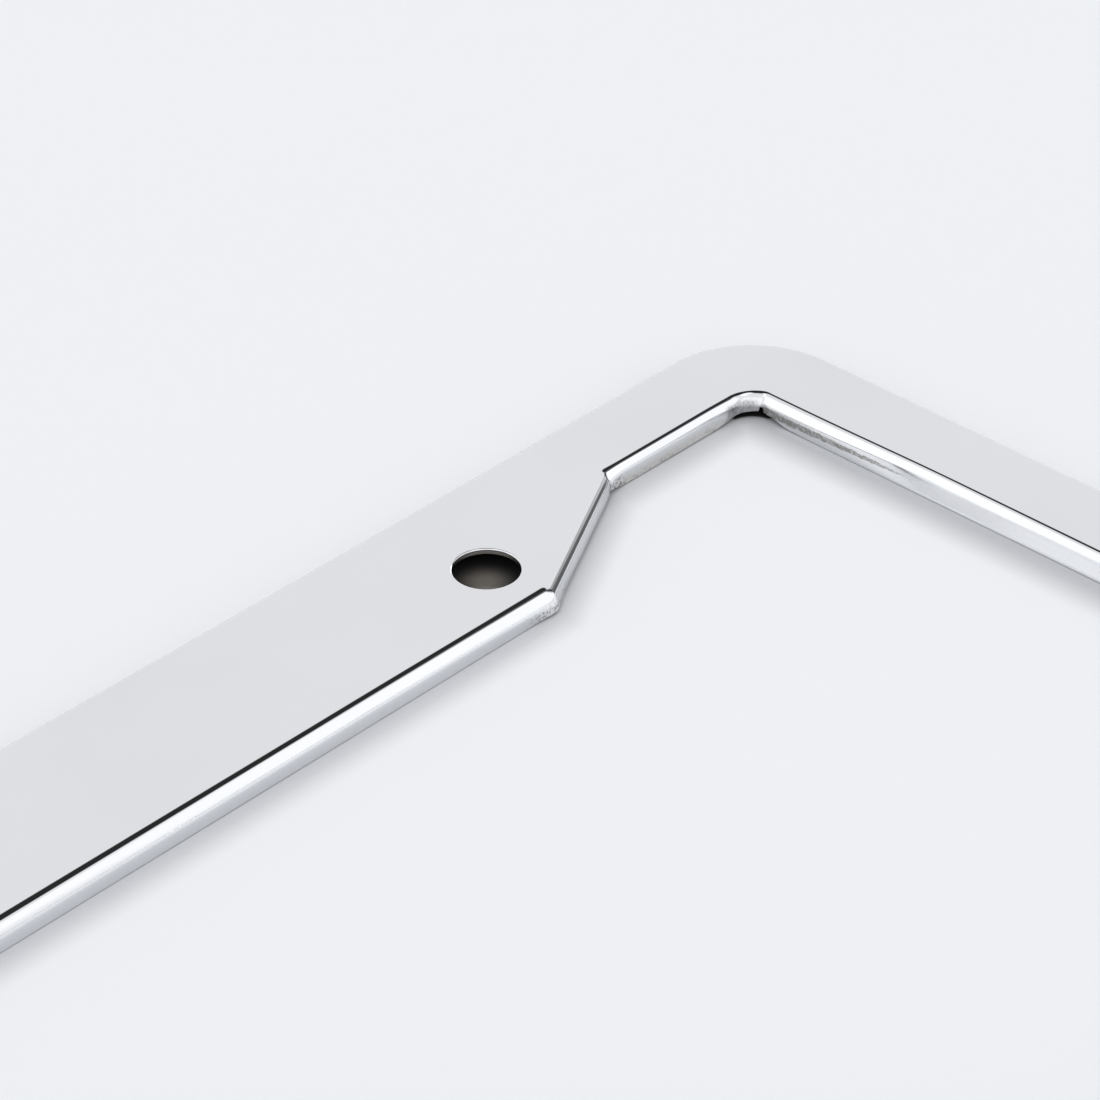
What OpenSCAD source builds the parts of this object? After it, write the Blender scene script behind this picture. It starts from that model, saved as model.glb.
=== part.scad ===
// Frame for a car number plate of the 12 x 6 inch size, pressed from one stainless sheet.
// It lies face up. Origin at the bottom centre, X along the length, Z up, millimetres.
// The flat face is folded down along its outer edge and round the window in the middle,
// and both flanges stand on the surface below.

/* [Overall] */
// Length over the outer flanges
frame_l = 311; // [300:1:330]
// Width over the outer flanges, along Y
frame_w = 160; // [152:1:175]
// Height of the face above the surface it lies on
frame_h = 3.2; // [3:0.1:6]
// Sheet thickness
sheet_t = 0.8; // [0.5:0.1:1]
// Outer radius of every folded edge
fold_r = 2; // [1.5:0.1:2.4]
// Radius of the four outer corners
corner_r = 14.5; // [8:0.5:20]

/* [Rails] */
// Width of the wide middle part of the top and bottom rails
wide_rail = 25.7; // [22:0.1:30]
// Width of the top and bottom rails beside the corners
narrow_rail = 13.3; // [11:0.1:16]
// Width of the two side rails
side_rail = 13.9; // [11:0.1:18]
// Length along X of the slanted step from the wide part to the narrow part
step_run = 23.4; // [18:0.2:26]
// Radius of the folded corner where the step starts
brow_r = 3; // [2.6:0.1:6]
// Radius of the folded corner where the step ends
crease_r = 0.4; // [0.2:0.1:2]
// Radius of the four window corners
window_r = 3; // [1:0.5:6]

/* [Plate bolts] */
// Distance between the two bolt holes
bolt_spacing = 177.8; // [150:0.1:180]
// Bolt hole diameter
bolt_d = 8.5; // [6:0.1:9]
// Distance from the top edge to the hole centres
bolt_drop = 16.3; // [13:0.1:17]
// Length of the wide rail past each hole centre, at the foot of its inner flange
bolt_land = 2; // [1:0.1:8]

/* [Pressing marks] */
// How far the foot of the short inner flanges is drawn up at mid length
arch_h = 0.7; // [0.2:0.1:0.9]
// How far the foot is drawn up at each window corner
lift_h = 1; // [0.8:0.1:1.4]
// Length over which the foot is drawn up at each window corner
lift_l = 7; // [5:0.5:10]
// Width at the foot of the split in one window corner
split_w = 0.9; // [0.4:0.1:1.4]
// Height of the tip of the split above the surface
split_h = 2.1; // [1.8:0.1:2.4]

/* [Hidden] */
fine = 96;
steel = [0.86, 0.87, 0.88];
hx = frame_l / 2;
hy = frame_w / 2;
// How far the folded strips lap into the flat face
lap = 0.8;
// How far a cut or a strip runs past the plane where it could end
past = 0.5;
// Window outline at the outer faces of its flanges
win_x = hx - side_rail;
win_wide = hy - wide_rail;
win_narrow = hy - narrow_rail;
step_start = bolt_spacing / 2 + bolt_land;
step_end = step_start + step_run;
step_a = atan2(win_narrow - win_wide, step_run);
step_l = norm([step_run, win_narrow - win_wide]);
step_tan = tan(step_a / 2);
// A quarter of each folded edge, as rows of straight length, radius and turn at its end.
// The metal is on the left, a turn to the left is positive, and the last row only runs on.
window_quarter = [
    [step_start - brow_r * step_tan, brow_r, step_a],
    [step_l - (brow_r + crease_r) * step_tan, crease_r, -step_a],
    [win_x - step_end - crease_r * step_tan - window_r, window_r, -90],
    [win_narrow - window_r + past, 0, 0]
];
edge_quarter = [
    [hy - corner_r, corner_r, 90],
    [hx - corner_r + past, 0, 0]
];
// Line of the flat face inside the folds, with the metal on its left, for one quarter
face_d = fold_r + lap / 2;
face_window = concat(
    [[0, win_wide + face_d]],
    [[step_start - face_d * step_tan, win_wide + face_d]],
    [[step_end - face_d * step_tan, win_narrow + face_d]],
    arc([win_x - window_r, win_narrow - window_r], window_r + face_d, 90, 0),
    [[win_x + face_d, 0]]
);
face_edge = concat(
    [[hx - face_d, 0]],
    arc([hx - corner_r, hy - corner_r], corner_r - face_d, 0, 90),
    [[0, hy - face_d]]
);
// Radius of the shallow arch under a short inner flange, and of the arch at a corner
arch_half = (win_x - step_end) / 2 + 2;
arch_r = (arch_half * arch_half + arch_h * arch_h) / (2 * arch_h);
lift_r = (lift_l * lift_l / 4 + lift_h * lift_h) / (2 * lift_h);

function arc(c, r, from, to) =
    [for (k = [0:12]) let (a = from + (to - from) * k / 12) c + r * [cos(a), sin(a)]];

// Section of a folded edge: outer face of the flange at x = 0, metal on the +x side
module fold_section(reach) {
    bend_z = frame_h - fold_r;
    square([sheet_t, bend_z]);
    translate([fold_r, frame_h - sheet_t]) square([reach, sheet_t]);
    intersection() {
        translate([fold_r, bend_z]) difference() {
            circle(r = fold_r, $fn = fine);
            circle(r = fold_r - sheet_t, $fn = fine);
        }
        translate([0, bend_z]) square(fold_r);
    }
}

// Straight folded strip along +X
module strip(length) {
    rotate([90, 0, 90]) linear_extrude(length) fold_section(lap);
}

// Moves what follows round a turn of radius r
module round_turn(r, turn) {
    translate([0, sign(turn) * r, 0]) rotate(turn) translate([0, -sign(turn) * r, 0]) children();
}

// Folded strip round a turn: the part of a folded ring between the two straight strips
module turned_strip(r, turn) {
    big = r + fold_r + lap + past;
    intersection() {
        translate([0, sign(turn) * r, 0]) rotate_extrude($fn = fine)
            if (turn > 0)
                translate([r, 0]) mirror([1, 0]) fold_section(min(lap, (r - fold_r) * 0.8));
            else
                translate([r, 0]) fold_section(lap);
        translate([0, -2 * big, -past]) cube([2 * big, 4 * big, frame_h + 2 * past]);
        round_turn(r, turn)
            translate([-2 * big, -2 * big, -past]) cube([2 * big, 4 * big, frame_h + 2 * past]);
    }
}

// Folded edge along the rows of a list, each strip starting where the last one ended
module folded_edge(rows, i = 0) {
    strip(rows[i][0]);
    if (i < len(rows) - 1) translate([rows[i][0], 0, 0]) {
        turned_strip(rows[i][1], rows[i][2]);
        round_turn(rows[i][1], rows[i][2]) folded_edge(rows, i + 1);
    }
}

module quarters() {
    for (mx = [0, 1], my = [0, 1]) mirror([mx, 0, 0]) mirror([0, my, 0]) children();
}

module flat_face() {
    translate([0, 0, frame_h - sheet_t]) linear_extrude(sheet_t)
        quarters() polygon(concat(face_window, face_edge));
}

module bolt_holes() {
    for (x = [-1, 1])
        translate([x * bolt_spacing / 2, hy - bolt_drop, frame_h - sheet_t - past])
            cylinder(d = bolt_d, h = sheet_t + 2 * past, $fn = fine);
}

// The sheet had to stretch round each window corner, so its foot is drawn up there
module drawn_foot() {
    deep = sheet_t + past;
    translate([(win_x + step_end) / 2, win_narrow + deep, arch_h - arch_r])
        rotate([90, 0, 0]) cylinder(r = arch_r, h = deep + 2, $fn = 4 * fine);
    translate([win_x, win_narrow, lift_h - lift_r]) rotate(45) translate([deep, 0, 0])
        rotate([0, -90, 0]) cylinder(r = lift_r, h = deep + window_r, $fn = fine);
}

// In one corner it stretched too far and split
module split() {
    translate([win_x, win_narrow, 0]) rotate(45) translate([sheet_t + past, 0, 0])
        rotate([90, 0, -90]) linear_extrude(sheet_t + past + window_r)
            polygon([[-split_w / 2, -past], [split_w / 2, -past], [0, split_h]]);
}

module plate_frame() {
    color(steel) difference() {
        union() {
            flat_face();
            quarters() {
                translate([0, win_wide, 0]) folded_edge(window_quarter);
                translate([hx, 0, 0]) rotate(90) folded_edge(edge_quarter);
            }
        }
        bolt_holes();
        quarters() drawn_foot();
        split();
    }
}

plate_frame();
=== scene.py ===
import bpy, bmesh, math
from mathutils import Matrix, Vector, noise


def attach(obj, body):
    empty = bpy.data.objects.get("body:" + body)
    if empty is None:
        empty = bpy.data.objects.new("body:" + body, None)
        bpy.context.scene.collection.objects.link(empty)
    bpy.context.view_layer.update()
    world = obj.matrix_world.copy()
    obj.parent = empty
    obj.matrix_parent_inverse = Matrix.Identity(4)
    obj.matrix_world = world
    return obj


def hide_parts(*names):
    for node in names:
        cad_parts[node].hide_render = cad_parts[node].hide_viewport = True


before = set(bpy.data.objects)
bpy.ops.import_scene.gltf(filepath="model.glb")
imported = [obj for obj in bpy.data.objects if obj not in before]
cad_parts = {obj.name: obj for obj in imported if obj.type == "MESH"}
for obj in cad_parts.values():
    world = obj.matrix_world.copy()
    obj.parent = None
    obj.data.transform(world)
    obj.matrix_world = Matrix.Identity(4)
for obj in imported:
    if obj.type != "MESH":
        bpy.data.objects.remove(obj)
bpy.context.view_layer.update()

# Camera: a long lens over the middle of the window, turned to the top right corner of the
# frame, with one bolt hole and the step beside it in view. It isn't part of the object.
lens = bpy.data.cameras.new("long_lens")
lens.sensor_width, lens.lens = 36, 125.2
lens.clip_start, lens.clip_end = 0.01, 50
camera = bpy.data.objects.new("camera", lens)
camera.location = (-0.18336, -0.20516, 0.26979)
camera.rotation_euler = (math.radians(55.41), 0, math.radians(-46.52))
bpy.context.scene.collection.objects.link(camera)
bpy.context.scene.camera = camera
bpy.context.scene.view_settings.view_transform = "Standard"

# Inner flange: the edge of the window, drawn down in the press from the one stainless sheet.
# It is a flat strip bent round a die and carried round the window, so each ring of the
# strip is placed by where it lies along the edge. Millimetres, turned to metres at the end.
sheet_t, face_h, fold_r = 0.8, 3.2, 2.0
half_l, half_w = 155.5, 80.0
window_x, window_wide, window_narrow = 141.6, 54.3, 66.7
step_start, step_end = 91.3, 114.75
brow_r, crease_r = 3.2, 0.5
corner_r, corner_turn, seam_r = 3.6, 58.0, 0.45
step_turn = math.degrees(math.atan2(window_narrow - window_wide, step_end - step_start))
step_tan = math.tan(math.radians(step_turn / 2))
step_l = math.hypot(step_end - step_start, window_narrow - window_wide)


def spaced(length, near, far, ends=2):
    """Marks along a straight, close together near its start, or near both ends."""
    marks, gap = [0.0], near
    while marks[-1] + gap * 1.3 < length / ends:
        marks.append(marks[-1] + gap)
        gap = min(gap * 1.22, far)
    marks.append(length / ends)
    return marks if ends == 1 else marks + [length - mark for mark in reversed(marks[:-1])]


def walk(x, y, heading, rows):
    """Stations (x, y, direction into the metal, distance) along an edge with the metal on its left.
    A row is the marks of a straight, then the radius, turn and steps of the bend after it."""
    stations, gone = [], 0.0
    for marks, radius, turn, steps in rows:
        along = Vector((math.cos(math.radians(heading)), math.sin(math.radians(heading))))
        for mark in marks:
            stations.append((Vector((x, y)) + along * mark, Vector((-along.y, along.x)), gone + mark))
        x, y = stations[-1][0]
        gone += marks[-1]
        side = math.copysign(radius, turn)
        centre = Vector((x, y)) + Vector((-along.y, along.x)) * side
        for step in range(1, steps):
            angle = math.radians(heading + turn * step / steps)
            inward = Vector((-math.sin(angle), math.cos(angle)))
            stations.append((centre - inward * side, inward, gone + abs(math.radians(turn)) * radius * step / steps))
        heading += turn
        angle = math.radians(heading)
        x, y = centre - Vector((-math.sin(angle), math.cos(angle))) * side
        gone += abs(math.radians(turn)) * radius
    return stations


def all_round(quarter, second):
    """The quarter and its three mirror images, end to end, each with the signs of its corner."""
    ring = []
    for sx, sy, forward in ((1, 1, True), (*second, False), (-1, -1, True), (-second[0], -second[1], False)):
        part = [(Vector((p.x * sx, p.y * sy)), Vector((m.x * sx, m.y * sy)), gone, sx, sy)
                for p, m, gone in quarter]
        ring += (part if forward else part[::-1])[1 if ring else 0:]
    return ring


def section(radius, lean, foot):
    """The sheet cut across its fold, as (distance into the metal, height), from the polished
    face round the fold, under the sheared foot and back below the face."""
    tilt = math.radians(90 - lean)
    centre = radius * math.sin(tilt) + (face_h - radius + radius * math.cos(tilt)) / math.tan(tilt)
    points = [(centre + 0.45, face_h)]
    for step in range(17):
        a = tilt * step / 16
        points.append((centre - radius * math.sin(a), face_h - radius + radius * math.cos(a)))
    down = Vector((-math.cos(tilt), -math.sin(tilt)))
    outer, inner = Vector(points[-1]), radius - sheet_t
    inner = Vector((centre - inner * math.sin(tilt), face_h - radius + inner * math.cos(tilt)))
    corner = outer + down * ((outer.y - foot) / math.sin(tilt))
    back = inner + down * ((inner.y - foot) / math.sin(tilt))
    soft = 0.14
    for step in range(1, 7):
        points.append(tuple(outer.lerp(corner - down * soft, step / 6)))
    for step in (0.35, 0.7, 1.0):
        a, b = (corner - down * soft).lerp(corner, step), corner.lerp(corner + Vector((soft, 0)), step)
        points.append(tuple(a.lerp(b, step)))
    for step in (0.0, 0.3, 0.65, 1.0):
        a, b = (back - Vector((soft, 0))).lerp(back, step), back.lerp(back - down * soft, step)
        points.append(tuple(a.lerp(b, step)))
    for step in range(1, 5):
        points.append(tuple((back - down * soft).lerp(inner, step / 4)))
    for step in range(1, 8):
        a = tilt * (1 - step / 7)
        points.append((centre - (radius - sheet_t) * math.sin(a), face_h - radius + (radius - sheet_t) * math.cos(a)))
    points.append((centre + 0.45, face_h - sheet_t))
    return points


def folded_strip(ring, shape):
    """A flat strip of the sheet, bent so that each of its rings takes the shape of its station."""
    strip = bmesh.new()
    rows = len(shape(*ring[0])) - 1
    bmesh.ops.create_grid(strip, x_segments=len(ring) - 1, y_segments=rows, size=1)
    shapes = [shape(*station) for station in ring]
    for vert in strip.verts:
        i = round((vert.co.x + 1) / 2 * (len(ring) - 1))
        j = round((vert.co.y + 1) / 2 * rows)
        place, inward = ring[i][0], ring[i][1]
        distance, height = shapes[i][j]
        vert.co = (place.x + inward.x * distance, place.y + inward.y * distance, height)
    bmesh.ops.remove_doubles(strip, verts=strip.verts, dist=1e-5)
    return strip


def between(gone, *marks):
    """A value that eases from mark to mark, each (distance along the edge, value)."""
    if gone <= marks[0][0]:
        return marks[0][1]
    for (a, low), (b, high) in zip(marks, marks[1:]):
        if gone <= b:
            share = (gone - a) / (b - a)
            return low + (high - low) * share * share * (3 - 2 * share)
    return marks[-1][1]


wide_l = step_start - brow_r * step_tan
brow_at = wide_l + math.radians(step_turn) * brow_r / 2
slant_l = step_l - (brow_r + crease_r) * step_tan
crease_at = wide_l + math.radians(step_turn) * (brow_r + crease_r / 2) + slant_l
turned = math.radians(corner_turn)
narrow_l = window_x - step_end - crease_r * step_tan - corner_r * math.sin(turned) - seam_r * (1 - math.sin(turned))
side_l = window_narrow - corner_r * (1 - math.cos(turned)) - seam_r * math.cos(turned)
corner_from = wide_l + math.radians(step_turn) * (brow_r + crease_r) + slant_l + narrow_l
corner_at = corner_from + corner_r * turned + seam_r * (math.pi / 2 - turned) / 2
corner_to = corner_from + corner_r * turned + seam_r * (math.pi / 2 - turned)
edge_end = corner_to + side_l
window_quarter = walk(0, window_wide, 0, [
    (spaced(wide_l - 6, 1.0, 2.4) + [wide_l - 6 + 0.15 * k for k in range(1, 41)], brow_r, step_turn, 12),
    ([0.15 * k for k in range(0, 20)] + [3 + m for m in spaced(slant_l - 3, 0.15, 1.0)], crease_r, -step_turn, 6),
    (spaced(narrow_l, 0.12, 0.7), corner_r, -corner_turn, 44),
    ([0], seam_r, corner_turn - 90, 8),
    ([0.06 * k for k in range(0, 10)] + [0.6 + m for m in spaced(side_l - 0.6, 0.08, 1.8, ends=1)], 0, 0, 0),
])


def window_section(place, inward, gone, sx, sy):
    """The inner fold where it is at this station: upright and a little short on the step and
    the narrow rail, drawn up at the window corner, and split there in one corner."""
    seed = Vector((sx * 7.3, sy * 3.1, 0))
    apart = between(gone, (0, 0), (12, 1), (edge_end - 12, 1), (edge_end, 0))
    lean = between(gone, (wide_l - 16, 6.0), (brow_at, 0), (corner_at, 2), (corner_to + 30, 19.0))
    lean += apart * 1.2 * noise.noise(Vector((gone / 23, 0.5, 0)) + seed)
    foot = between(gone, (wide_l - 5, 0), (brow_at, 0.28), (brow_at + 5, 0.55), (crease_at, 0.5),
                   (crease_at + 3, 0.06), (corner_from - 4, 0.08), (corner_from + 1.4, 0.85),
                   (corner_at, 0.9), (corner_at + 1.2, 0.75), (corner_to + 4.5, 0.04), (corner_to + 9, 0.0))
    foot += apart * 0.02 * abs(noise.noise(Vector((gone / 3.5, 2.5, 0)) + seed))
    if sx > 0 and sy > 0:
        foot = max(foot, 2.15 - 3.6 * abs(gone - corner_at + 0.08))
    radius = between(gone, (wide_l - 16, 1.85), (brow_at, fold_r), (crease_at - 2, fold_r),
                     (crease_at + 3, 1.35), (corner_from - 5, 1.4), (corner_at, 1.7), (corner_to + 30, 1.35))
    set_back = between(gone, (crease_at - 2, 0), (crease_at + 3, 0.43), (corner_from - 5, 0.4), (corner_to, 0))
    near_brow = math.exp(-((gone - brow_at) / 2.6) ** 2)
    pucker = math.exp(-((gone - brow_at + 1.5) / 4.5) ** 2)
    crumple = math.exp(-((gone - crease_at - 0.6) / 1.3) ** 2)
    points = []
    for distance, height in section(radius, lean, foot):
        low = max(0.0, 1 - height / 1.9)
        ribs = noise.noise(Vector((gone / 0.42, height / 1.3, 0)) + seed)
        dents = noise.noise(Vector((gone / 0.9, height / 0.7, 4)) + seed)
        distance += set_back - near_brow * 0.42 * low ** 1.3
        distance += pucker * 0.05 * ribs * min(1, 2.2 * low)
        distance += crumple * 0.06 * dents * min(1, 1.6 * max(0.0, 1 - height / 2.4))
        points.append((distance, height))
    return points


inner_fold = folded_strip(all_round(window_quarter, (1, -1)), window_section)

# Outer flange: the rim of the frame, folded down square in the same stroke and trimmed level,
# so that it stands on the surface below all the way round its four rounded corners.
rim_r = 14.5
edge_quarter = walk(half_l, 0, 90, [
    (spaced(half_w - rim_r, 0.8, 3.0), rim_r, 90, 30),
    (spaced(half_l - rim_r, 0.8, 3.0, ends=1), 0, 0, 0),
])
outer_fold = folded_strip(all_round(edge_quarter, (-1, 1)), lambda *station: section(fold_r, 0, 0))

# Bolt holes: two round holes punched from the polished face, each with a rolled-in rim, a straight band where the
# punch cut the sheet, and a break below it that opens a little wider.
bolt_spacing, bolt_y, bolt_r = 177.8, 63.7, 4.25
rim = [(0.6, 0), (0.2, 0), (0.12, -0.012), (0.05, -0.05), (0.01, -0.11), (0, -0.18), (0, -0.3),
       (0, -0.42), (0.02, -0.46), (0.04, -0.6), (0.07, -0.74), (0.1, -0.8), (0.6, -0.8)]
holes = bmesh.new()
for side in (-1, 1):
    cut = [holes.verts.new((side * bolt_spacing / 2 + bolt_r + out, bolt_y, face_h + down)) for out, down in rim]
    edges = [holes.edges.new(pair) for pair in zip(cut, cut[1:])]
    bmesh.ops.spin(holes, geom=cut + edges, cent=(side * bolt_spacing / 2, bolt_y, 0), axis=(0, 0, 1),
                   angle=math.tau, steps=96, use_merge=True)
bmesh.ops.remove_doubles(holes, verts=holes.verts, dist=1e-5)

# Flat face: the polished front of the frame and the plain back of the same sheet, which join
# the two folds and leave the bolt holes open.
sheet = bmesh.new()
for part in (inner_fold, outer_fold, holes):
    mesh = bpy.data.meshes.new("part")
    part.to_mesh(mesh)
    part.free()
    sheet.from_mesh(mesh)
    bpy.data.meshes.remove(mesh)
open_edges = [edge for edge in sheet.edges if edge.is_boundary]
for level in (face_h, face_h - sheet_t):
    loops = [edge for edge in open_edges if abs(edge.verts[0].co.z - level) < 1e-4]
    bmesh.ops.triangle_fill(sheet, edges=loops, use_beauty=True, use_dissolve=False, normal=(0, 0, 1))
bmesh.ops.recalc_face_normals(sheet, faces=sheet.faces)
bmesh.ops.scale(sheet, verts=sheet.verts, vec=(0.001, 0.001, 0.001))
pressing = bpy.data.meshes.new("pressed_frame")
sheet.to_mesh(pressing)
sheet.free()
pressing.shade_smooth()
frame_piece = bpy.data.objects.new("pressed_frame", pressing)
bpy.context.scene.collection.objects.link(frame_piece)
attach(frame_piece, "root")
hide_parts("plate_frame")


# Polished steel: bright stainless, buffed on the face and round the folds, with a faint haze of fine scratches,
# rougher and mottled where the sheet was drawn hardest, a darker mottled stripe low on the side flanges, a painted
# grey shade low in the window corner, and rougher underneath, where its colour is also painted dark as shade.
class Value:
    """A socket of a material, so that values are worked out with plain signs."""
    def __init__(self, tree, socket=None):
        self.tree, self.socket = tree, socket

    def node(self, kind, settings=None, out=0, **inputs):
        node = self.tree.nodes.new(kind)
        for name, setting in (settings or {}).items():
            if name == "stops":
                ramp = node.color_ramp
                while len(ramp.elements) < len(setting):
                    ramp.elements.new(0.5)
                for element, (place, colour) in zip(ramp.elements, setting):
                    element.position, element.color = place, colour
            else:
                setattr(node, name, setting)
        for name, value in inputs.items():
            key = int(name[1:]) if name[1:].isdigit() else name.replace("_", " ")
            if isinstance(value, Value):
                self.tree.links.new(value.socket, node.inputs[key])
            else:
                node.inputs[key].default_value = value
        return Value(self.tree, node.outputs[out])

    def math(self, operation, other=None, clamp=False):
        inputs = {"i0": self} if other is None else {"i0": self, "i1": other}
        return self.node("ShaderNodeMath", {"operation": operation, "use_clamp": clamp}, **inputs)

    def after(self, operation, other):
        return self.node("ShaderNodeMath", {"operation": operation}, i0=other, i1=self)

    def __add__(self, other): return self.math("ADD", other)
    def __sub__(self, other): return self.math("SUBTRACT", other)
    def __mul__(self, other): return self.math("MULTIPLY", other)
    def __truediv__(self, other): return self.math("DIVIDE", other)
    def __radd__(self, other): return self.after("ADD", other)
    def __rsub__(self, other): return self.after("SUBTRACT", other)
    def __rmul__(self, other): return self.after("MULTIPLY", other)
    def __rtruediv__(self, other): return self.after("DIVIDE", other)

    def ease(self, low, high):
        """0 below low and 1 above high, or the other way round where low is the larger."""
        return self.node("ShaderNodeMapRange", {"interpolation_type": "SMOOTHSTEP"},
                         Value=self, From_Min=low, From_Max=high)

    def band(self, low, high, soft):
        return self.ease(low - soft, low + soft) * self.ease(high + soft, high - soft)

    def parts(self):
        split = self.node("ShaderNodeSeparateXYZ", Vector=self).socket.node
        return [Value(self.tree, socket) for socket in split.outputs]

    def mix(self, colour, share):
        return self.node("ShaderNodeMix", {"data_type": "RGBA"}, 2, i0=share, i6=self, i7=colour)

    def noise(self, scale, detail=2, squeeze=(1, 1, 1)):
        place = self.node("ShaderNodeMapping", Vector=self, Scale=squeeze)
        return self.node("ShaderNodeTexNoise", Vector=place, Scale=scale, Detail=detail)


steel = bpy.data.materials.new("polished_steel")
steel.use_nodes = True
shader = steel.node_tree.nodes["Principled BSDF"]
place = Value(steel.node_tree).node("ShaderNodeTexCoord", out=3)
x, y, z = place.parts()
x, y, z = x * 1000, y * 1000, z * 1000
facing = Value(steel.node_tree).node("ShaderNodeNewGeometry", out=1).parts()[2]
below = facing.ease(-0.3, -0.7)
edge_x, edge_y = x.math("ABSOLUTE"), y.math("ABSOLUTE")
bright = place.node("ShaderNodeRGB").socket.node
bright.outputs[0].default_value = (0.825, 0.835, 0.855, 1)
colour = Value(steel.node_tree, bright.outputs[0])
colour = colour.mix((0.80, 0.81, 0.83, 1), place.noise(38, 2).ease(0.35, 0.7))
grit = place.noise(2600, 4)
blotch = place.noise(900, 3)
streak = place.noise(1500, 3, (0.12, 0.12, 1))
from_corner = 65 - edge_y
side_flange = edge_x.ease(139, 139.6) * edge_x.ease(143.6, 143)
stripe_z = z - 1.2 - from_corner * 0.008 - (blotch - 0.5) * 0.5
stripe_half = (26 - from_corner).math("MAXIMUM", 0) * 0.02 + 0.07
stripe = side_flange * (stripe_z.math("ABSOLUTE") / stripe_half).ease(1.25, 0.7) * from_corner.ease(30, 16)
stripe = stripe * (grit.ease(0.36, 0.6) * 0.45 + 0.55) * from_corner.ease(-1.2, 0.8)
short_flange = edge_x.band(115.5, 139, 1) * edge_y.band(66, 69.2, 0.4)
short_low = short_flange * z.ease(1.9, 0.5)
off_crease = ((edge_x - 115.9) * (edge_x - 115.9) + (edge_y - 67.5) * (edge_y - 67.5)).math("SQRT")
off_brow = ((edge_x - 91.5) * (edge_x - 91.5) * 0.35 + (edge_y - 55) * (edge_y - 55)).math("SQRT")
worked_and_corner_shade = off_crease.ease(3.2, 1.2) * z.ease(2.1, 1.3) + off_brow.ease(4.2, 1.6) * z.ease(1.9, 1.1)
# Painted shade: a blotchy grey patch low in the window corner, which also joins the mottled, rougher worked zones.
painted_corner_shade = edge_x.band(137.2, 141.4, 0.5) * edge_y.ease(64.6, 65.2) * z.ease(2.75, 2.2)
worked_and_corner_shade = worked_and_corner_shade + short_low * blotch.ease(0.4, 0.62) * 0.6 + painted_corner_shade * 0.7
mottle_and_corner_shade = worked_and_corner_shade.math("MINIMUM", 1) * grit.ease(0.5, 0.6)
colour = colour.mix((0.78, 0.745, 0.69, 1), short_low * (0.35 + 0.5 * blotch))
colour = colour.mix((0.42, 0.42, 0.43, 1), painted_corner_shade * (0.4 + blotch * 0.8))
colour = colour.mix((0.27, 0.26, 0.25, 1), mottle_and_corner_shade * 0.75)
colour = colour.mix((0.24, 0.23, 0.205, 1), stripe * 0.85)
# Painted shade: faces turned down, under the sheet, are painted near black; they are also made rougher.
colour = colour.mix((0.10, 0.10, 0.105, 1), below)
side_low = side_flange * z.ease(2.3, 1.6)
rough = 0.045 + blotch * 0.02 + worked_and_corner_shade * 0.16 + stripe * 0.2 + side_low * 0.12 + below * 0.3
rise = grit * (worked_and_corner_shade * 0.8 + stripe * 0.6 + 0.01) + streak * 0.08
bump = rise.node("ShaderNodeBump", Height=rise, Strength=0.5, Distance=0.00005)
steel.node_tree.links.new(colour.socket, shader.inputs["Base Color"])
steel.node_tree.links.new(rough.socket, shader.inputs["Roughness"])
steel.node_tree.links.new(bump.socket, shader.inputs["Normal"])
shader.inputs["Metallic"].default_value = 1
pressing.materials.append(steel)

# Floor: a glossy white sheet that the frame lies on. It isn't part of the object.
floor_shape = bmesh.new()
bmesh.ops.create_grid(floor_shape, x_segments=1, y_segments=1, size=3)
floor_mesh = bpy.data.meshes.new("floor")
floor_shape.to_mesh(floor_mesh)
floor_shape.free()
floor = bpy.data.objects.new("floor", floor_mesh)
bpy.context.scene.collection.objects.link(floor)
white = bpy.data.materials.new("white_sheet")
white.use_nodes = True
shader = white.node_tree.nodes["Principled BSDF"]
place = Value(white.node_tree).node("ShaderNodeTexCoord", out=3)
x, y, z = place.parts()
edge_x, edge_y = x.math("ABSOLUTE") * 1000, y.math("ABSOLUTE") * 1000
reach = (54.3 + (edge_x - 91.3) * 0.529).math("MAXIMUM", 54.3).math("MINIMUM", 66.7)
deep = 1.1 - edge_x.band(88.5, 92.5, 1.5) * 0.9
open_window = (edge_y - reach - deep).ease(0.4, -0.4) * edge_x.ease(142.9, 142.2)
past_x, past_y = edge_x - 138.2, edge_y - 63.3
in_corner = past_x.math("MINIMUM", past_y).ease(0.2, 1.0)
open_window = open_window * (1 - in_corner * (past_x * past_x + past_y * past_y).math("SQRT").ease(3.5, 4.2))
rim_x, rim_y = (edge_x - 141).math("MAXIMUM", 0), (edge_y - 65.5).math("MAXIMUM", 0)
in_rim = (rim_x * rim_x + rim_y * rim_y).math("SQRT").ease(13.8, 13.2)
# Painted shade: the floor under the frame's footprint, outside the open window, is painted near black.
under = edge_x.ease(154.8, 154.2) * edge_y.ease(79.3, 78.7) * in_rim * (1 - open_window)
foot_shade = (reach - edge_y).ease(5.5, 0.5) * 0.5
foot_shade = foot_shade.math("MAXIMUM", (141.6 - edge_x).ease(6.8, 0.3) * 0.72) * open_window
sheet_white = place.node("ShaderNodeRGB").socket.node
sheet_white.outputs[0].default_value = (0.868, 0.88, 0.9, 1)
colour = Value(white.node_tree, sheet_white.outputs[0]).mix((0.41, 0.42, 0.45, 1), foot_shade)
# Painted light: a brownish pool of light on the floor under each bolt hole, over the painted shade under the frame.
hole_x, hole_y = edge_x - 90, y * 1000 - 65
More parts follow.
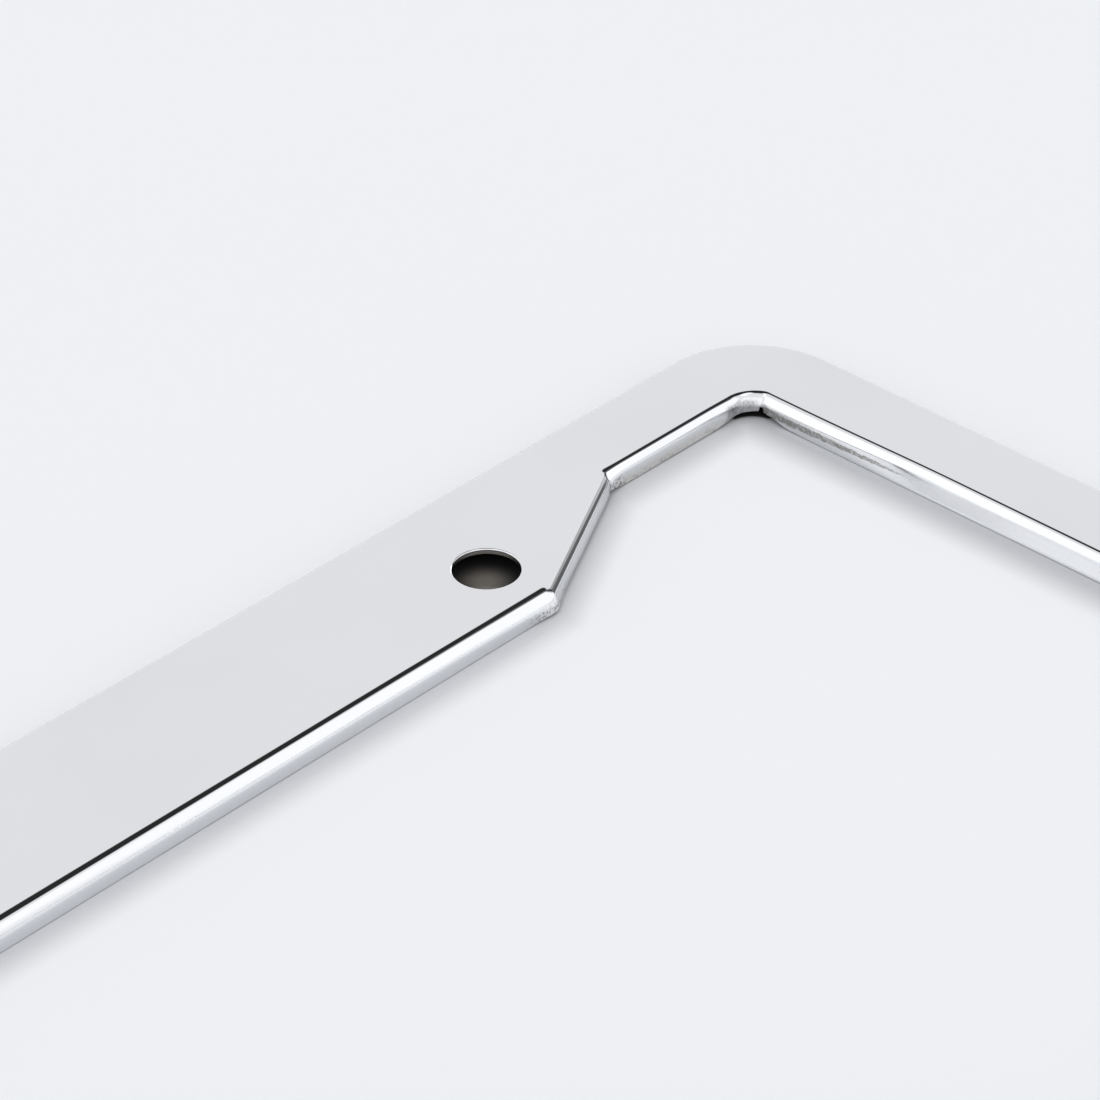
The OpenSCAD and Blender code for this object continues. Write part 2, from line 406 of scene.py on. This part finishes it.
painted_light_pool = (hole_x * hole_x + hole_y * hole_y).math("SQRT").ease(4.5, 0.5)
colour = colour.mix((0.03, 0.03, 0.03, 1), under).mix((0.2, 0.18, 0.16, 1), painted_light_pool)
white.node_tree.links.new(colour.socket, shader.inputs["Base Color"])
shader.inputs["Roughness"].default_value = 0.12
shader.inputs["Specular IOR Level"].default_value = 0.3
floor_mesh.materials.append(white)

# Light: a white tent, open behind the camera, with a bright panel on either side and the dark
# seams between its panels. Bearings run from the back of the table to its right, in degrees.
tent = bpy.data.worlds.new("tent")
tent.use_nodes = True
bpy.context.scene.world = tent
tent.node_tree.nodes.clear()
x, y, z = Value(tent.node_tree).node("ShaderNodeTexCoord", out=0).parts()
height = z.math("ARCSINE") * (180 / math.pi)
bearing = x.math("ARCTAN2", y) * (180 / math.pi)
behind = (x * 0.42 + y * 0.91).ease(-0.45, 0.1)
light = 0.9 + height.band(66, 77, 4) * behind * 0.35
light = light + bearing.band(66, 84, 3) * height.band(19, 26, 1) * 12
right_panel = bearing.band(107, 152, 5) * height.band(-30, 58, 3)
left_panel = bearing.band(-66, -16, 6) * height.band(-30, 62, 3)
light = light + right_panel * 0.3 + left_panel * 0.35
front_panel = (bearing.ease(160, 176) + bearing.ease(-84, -100)) * height.band(-6, 60, 8)
light = light + front_panel * 0.28
high_seam = bearing.band(24, 96, 5) * height.band(44, 66, 2)
low_seam = bearing.band(95, 105, 2) * height.band(-6, 55, 3)
joint = bearing.band(90, 111, 3) * height.band(20, 44, 4)
corner_seam = bearing.band(28, 64, 4) * height.band(60, 78, 2)
light = light * (1 - high_seam * 0.97) * (1 - corner_seam * 0.95) * (1 - low_seam * 0.85) * (1 - joint * 0.6)
background = tent.node_tree.nodes.new("ShaderNodeBackground")
background.inputs["Color"].default_value = (0.985, 0.99, 1.0, 1)
tent.node_tree.links.new(light.socket, background.inputs["Strength"])
output = tent.node_tree.nodes.new("ShaderNodeOutputWorld")
tent.node_tree.links.new(background.outputs[0], output.inputs["Surface"])
